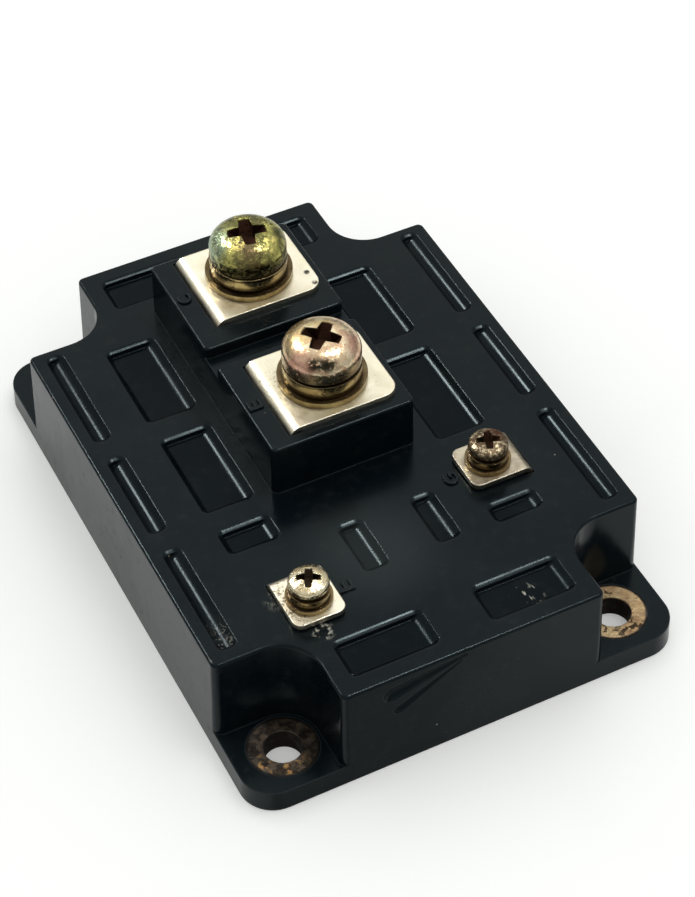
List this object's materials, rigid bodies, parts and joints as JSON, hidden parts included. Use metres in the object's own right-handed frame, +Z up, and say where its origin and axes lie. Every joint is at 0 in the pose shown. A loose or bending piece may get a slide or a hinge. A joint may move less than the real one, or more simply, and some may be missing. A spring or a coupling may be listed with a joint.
{
  "type": "power transistor module",
  "caption": "Black moulded power transistor module with screw terminals on a raised block, small auxiliary terminals, and bushed corner notches for bolting to a heatsink.",
  "frame": {"origin": "centre of the base plate's underside", "axes": "+X across the width towards the gate terminal, +Y towards the collector end, +Z up"},
  "size_m": [0.08, 0.11, 0.0434],
  "materials": {
    "case_plastic": "semi-gloss black moulding with scuffs and dust",
    "base_nickel": "nickel plate over copper",
    "bush_steel": "steel, stained by rust",
    "terminal_nickel": "warm matte nickel plate over copper, pitted in places",
    "main_screw_plate": "yellow chromate over steel, worn",
    "aux_screw_plate": "dull plated steel, rusty in one recess",
    "washer_plate": "bronze-gold chromate over steel",
    "nut_steel": "plated steel",
    "copper": "bare copper",
    "substrate_ceramic": "white alumina",
    "silicon": "metallised silicon",
    "bond_wire": "drawn wire"
  },
  "bodies": {
    "root": {"aux_emitter_lead": "terminal_nickel", "aux_flat_washers": "washer_plate", "aux_nuts": "nut_steel", "aux_screws": "aux_screw_plate", "aux_spring_washers": "washer_plate", "base_plate": "base_nickel", "bush_far_left": "bush_steel", "bush_far_right": "bush_steel", "bush_near_left": "bush_steel", "bush_near_right": "bush_steel", "case": "case_plastic", "collector_busbar": "terminal_nickel", "emitter_busbar": "terminal_nickel", "far_bottom_copper": "copper", "far_ceramic": "substrate_ceramic", "far_diode_1": "silicon", "far_diode_2": "silicon", "far_diode_3": "silicon", "far_emitter_wires": "bond_wire", "far_gate_wires": "bond_wire", "far_top_copper": "copper", "far_transistor_1": "silicon", "far_transistor_2": "silicon", "far_transistor_3": "silicon", "gate_jumper": "bond_wire", "gate_lead": "terminal_nickel", "main_flat_washers": "washer_plate", "main_nuts": "nut_steel", "main_screws": "main_screw_plate", "main_spring_washers": "washer_plate", "near_bottom_copper": "copper", "near_ceramic": "substrate_ceramic", "near_diode_1": "silicon", "near_diode_2": "silicon", "near_diode_3": "silicon", "near_emitter_wires": "bond_wire", "near_gate_wires": "bond_wire", "near_top_copper": "copper", "near_transistor_1": "silicon", "near_transistor_2": "silicon", "near_transistor_3": "silicon"}
  },
  "joints": []
}
